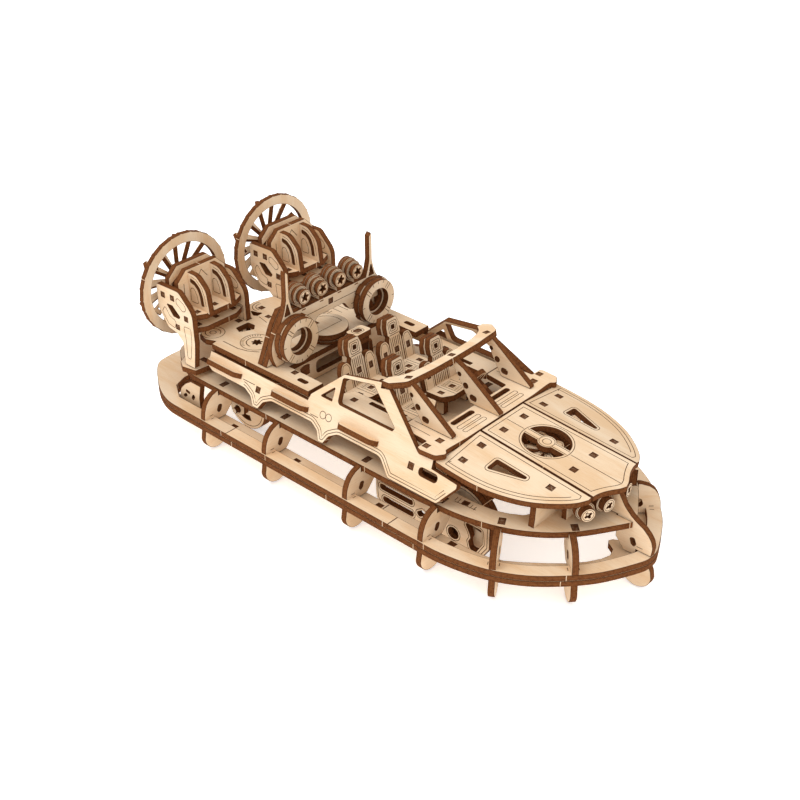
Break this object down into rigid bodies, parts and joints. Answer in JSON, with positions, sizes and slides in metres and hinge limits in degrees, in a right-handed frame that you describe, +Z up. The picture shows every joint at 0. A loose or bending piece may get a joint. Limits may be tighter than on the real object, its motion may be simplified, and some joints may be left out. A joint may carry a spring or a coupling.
{
  "type": "laser-cut plywood kit model of a rescue hovercraft",
  "caption": "Birch plywood kit model of a rescue hovercraft: twin rear fans in round wheels, light arch with searchlights, bucket seats, bonnet grille and an open double ring for the skirt.",
  "frame": {"origin": "Centre of the model's footprint, on the floor under its hidden wheels.", "axes": "X towards the bow, along the model's length; Y to port; Z up, through its height."},
  "size_m": [0.2904, 0.1212, 0.1017],
  "materials": {
    "lower_ring_base_stern_mat": "matte, burnt brown cut edges",
    "lower_ring_base_starboard_mat": "matte, burnt brown cut edges",
    "lower_ring_base_port_mat": "matte, burnt brown cut edges",
    "lower_ring_base_bow_mat": "matte, burnt brown cut edges",
    "lower_ring_top_stern_mat": "matte, burnt brown cut edges",
    "lower_ring_top_starboard_mat": "matte, burnt brown cut edges",
    "lower_ring_top_port_mat": "matte, burnt brown cut edges",
    "lower_ring_top_bow_mat": "matte, burnt brown cut edges",
    "upper_deck_ring_mat": "matte, burnt brown cut edges",
    "bow_keel_mat": "matte, burnt brown cut edges",
    "chassis_plate_starboard_mat": "matte, burnt brown cut edges",
    "chassis_plate_port_mat": "matte, burnt brown cut edges",
    "stern_frame_starboard_mat": "matte, burnt brown cut edges",
    "stern_frame_port_mat": "matte, burnt brown cut edges",
    "cabin_floor_mat": "matte, burnt brown cut edges",
    "rear_deck_mat": "matte, burnt brown cut edges",
    "side_panel_starboard_mat": "matte, burnt brown cut edges",
    "side_panel_port_mat": "matte, burnt brown cut edges",
    "bonnet_centre_mat": "matte, burnt brown cut edges",
    "bonnet_side_starboard_mat": "matte, burnt brown cut edges",
    "bonnet_side_port_mat": "matte, burnt brown cut edges",
    "lift_fan_mat": "matte, burnt brown cut edges",
    "dash_plate_mat": "matte, burnt brown cut edges",
    "windscreen_frame_mat": "matte, burnt brown cut edges",
    "seat_front_starboard_mat": "matte, burnt brown cut edges",
    "seat_front_port_mat": "matte, burnt brown cut edges",
    "seat_rear_starboard_mat": "matte, burnt brown cut edges",
    "seat_rear_port_mat": "matte, burnt brown cut edges",
    "console_mat": "matte, burnt brown cut edges",
    "round_stack_mat": "matte, burnt brown cut edges",
    "steering_wheel_mat": "matte, burnt brown cut edges",
    "arch_front_ply_mat": "matte, burnt brown cut edges",
    "arch_mid_ply_mat": "matte, burnt brown cut edges",
    "arch_rear_ply_mat": "matte, burnt brown cut edges",
    "searchlight_1_mat": "matte, burnt brown cut edges",
    "searchlight_2_mat": "matte, burnt brown cut edges",
    "searchlight_3_mat": "matte, burnt brown cut edges",
    "searchlight_4_mat": "matte, burnt brown cut edges",
    "life_ring_starboard_mat": "matte, burnt brown cut edges",
    "life_ring_port_mat": "matte, burnt brown cut edges",
    "nacelle_side_starboard_left_mat": "matte, burnt brown cut edges",
    "nacelle_side_starboard_right_mat": "matte, burnt brown cut edges",
    "nacelle_bay_starboard_mat": "matte, burnt brown cut edges",
    "nacelle_brace_starboard_mat": "matte, burnt brown cut edges",
    "fan_ring_starboard_mat": "matte, burnt brown cut edges",
    "propeller_starboard_mat": "matte, burnt brown cut edges",
    "nacelle_side_port_left_mat": "matte, burnt brown cut edges",
    "nacelle_side_port_right_mat": "matte, burnt brown cut edges",
    "nacelle_bay_port_mat": "matte, burnt brown cut edges",
    "nacelle_brace_port_mat": "matte, burnt brown cut edges",
    "fan_ring_port_mat": "matte, burnt brown cut edges",
    "propeller_port_mat": "matte, burnt brown cut edges",
    "stern_platform_mat": "matte, burnt brown cut edges",
    "bow_lamp_outer_starboard_mat": "matte, burnt brown cut edges",
    "bow_lamp_inner_starboard_mat": "matte, burnt brown cut edges",
    "bow_lamp_outer_port_mat": "matte, burnt brown cut edges",
    "bow_lamp_inner_port_mat": "matte, burnt brown cut edges",
    "wheels_front_mat": "matte, burnt brown cut edges",
    "wheels_rear_mat": "matte, burnt brown cut edges"
  },
  "bodies": {
    "hull": {"lower_ring_base_stern": "lower_ring_base_stern_mat", "lower_ring_base_starboard": "lower_ring_base_starboard_mat", "lower_ring_base_port": "lower_ring_base_port_mat", "lower_ring_base_bow": "lower_ring_base_bow_mat", "lower_ring_top_stern": "lower_ring_top_stern_mat", "lower_ring_top_starboard": "lower_ring_top_starboard_mat", "lower_ring_top_port": "lower_ring_top_port_mat", "lower_ring_top_bow": "lower_ring_top_bow_mat", "upper_deck_ring": "upper_deck_ring_mat", "bow_keel": "bow_keel_mat", "chassis_plate_starboard": "chassis_plate_starboard_mat", "chassis_plate_port": "chassis_plate_port_mat", "stern_frame_starboard": "stern_frame_starboard_mat", "stern_frame_port": "stern_frame_port_mat", "cabin_floor": "cabin_floor_mat", "rear_deck": "rear_deck_mat", "side_panel_starboard": "side_panel_starboard_mat", "side_panel_port": "side_panel_port_mat", "bonnet_centre": "bonnet_centre_mat", "bonnet_side_starboard": "bonnet_side_starboard_mat", "bonnet_side_port": "bonnet_side_port_mat", "dash_plate": "dash_plate_mat", "windscreen_frame": "windscreen_frame_mat", "seat_front_starboard": "seat_front_starboard_mat", "seat_front_port": "seat_front_port_mat", "seat_rear_starboard": "seat_rear_starboard_mat", "seat_rear_port": "seat_rear_port_mat", "console": "console_mat", "round_stack": "round_stack_mat", "steering_wheel": "steering_wheel_mat", "arch_front_ply": "arch_front_ply_mat", "arch_mid_ply": "arch_mid_ply_mat", "arch_rear_ply": "arch_rear_ply_mat", "searchlight_1": "searchlight_1_mat", "searchlight_2": "searchlight_2_mat", "searchlight_3": "searchlight_3_mat", "searchlight_4": "searchlight_4_mat", "life_ring_starboard": "life_ring_starboard_mat", "life_ring_port": "life_ring_port_mat", "nacelle_side_starboard_left": "nacelle_side_starboard_left_mat", "nacelle_side_starboard_right": "nacelle_side_starboard_right_mat", "nacelle_bay_starboard": "nacelle_bay_starboard_mat", "nacelle_brace_starboard": "nacelle_brace_starboard_mat", "nacelle_side_port_left": "nacelle_side_port_left_mat", "nacelle_side_port_right": "nacelle_side_port_right_mat", "nacelle_bay_port": "nacelle_bay_port_mat", "nacelle_brace_port": "nacelle_brace_port_mat", "stern_platform": "stern_platform_mat", "bow_lamp_outer_starboard": "bow_lamp_outer_starboard_mat", "bow_lamp_inner_starboard": "bow_lamp_inner_starboard_mat", "bow_lamp_outer_port": "bow_lamp_outer_port_mat", "bow_lamp_inner_port": "bow_lamp_inner_port_mat"},
    "propeller_starboard_rotor": {"propeller_starboard": "propeller_starboard_mat", "fan_ring_starboard": "fan_ring_starboard_mat"},
    "propeller_port_rotor": {"propeller_port": "propeller_port_mat", "fan_ring_port": "fan_ring_port_mat"},
    "lift_fan_rotor": {"lift_fan": "lift_fan_mat"},
    "front_axle": {"wheels_front": "wheels_front_mat"},
    "rear_axle": {"wheels_rear": "wheels_rear_mat"}
  },
  "joints": [
    {"name": "propeller_starboard_spin", "type": "hinge", "parent": "hull", "child": "propeller_starboard_rotor", "pos_m": [-0.12825, -0.0313, 0.0716], "axis": [1, 0, 0], "continuous": true},
    {"name": "propeller_port_spin", "type": "hinge", "parent": "hull", "child": "propeller_port_rotor", "pos_m": [-0.12825, 0.0313, 0.0716], "axis": [1, 0, 0], "continuous": true},
    {"name": "lift_fan_spin", "type": "hinge", "parent": "hull", "child": "lift_fan_rotor", "pos_m": [0.08455, 0, 0.0444], "axis": [0, 0, 1], "continuous": true},
    {"name": "wheels_front_spin", "type": "hinge", "parent": "hull", "child": "front_axle", "pos_m": [0.06355, 0, 0.0176], "axis": [0, 1, 0], "continuous": true},
    {"name": "wheels_rear_spin", "type": "hinge", "parent": "hull", "child": "rear_axle", "pos_m": [-0.08385, 0, 0.0139], "axis": [0, 1, 0], "continuous": true}
  ]
}
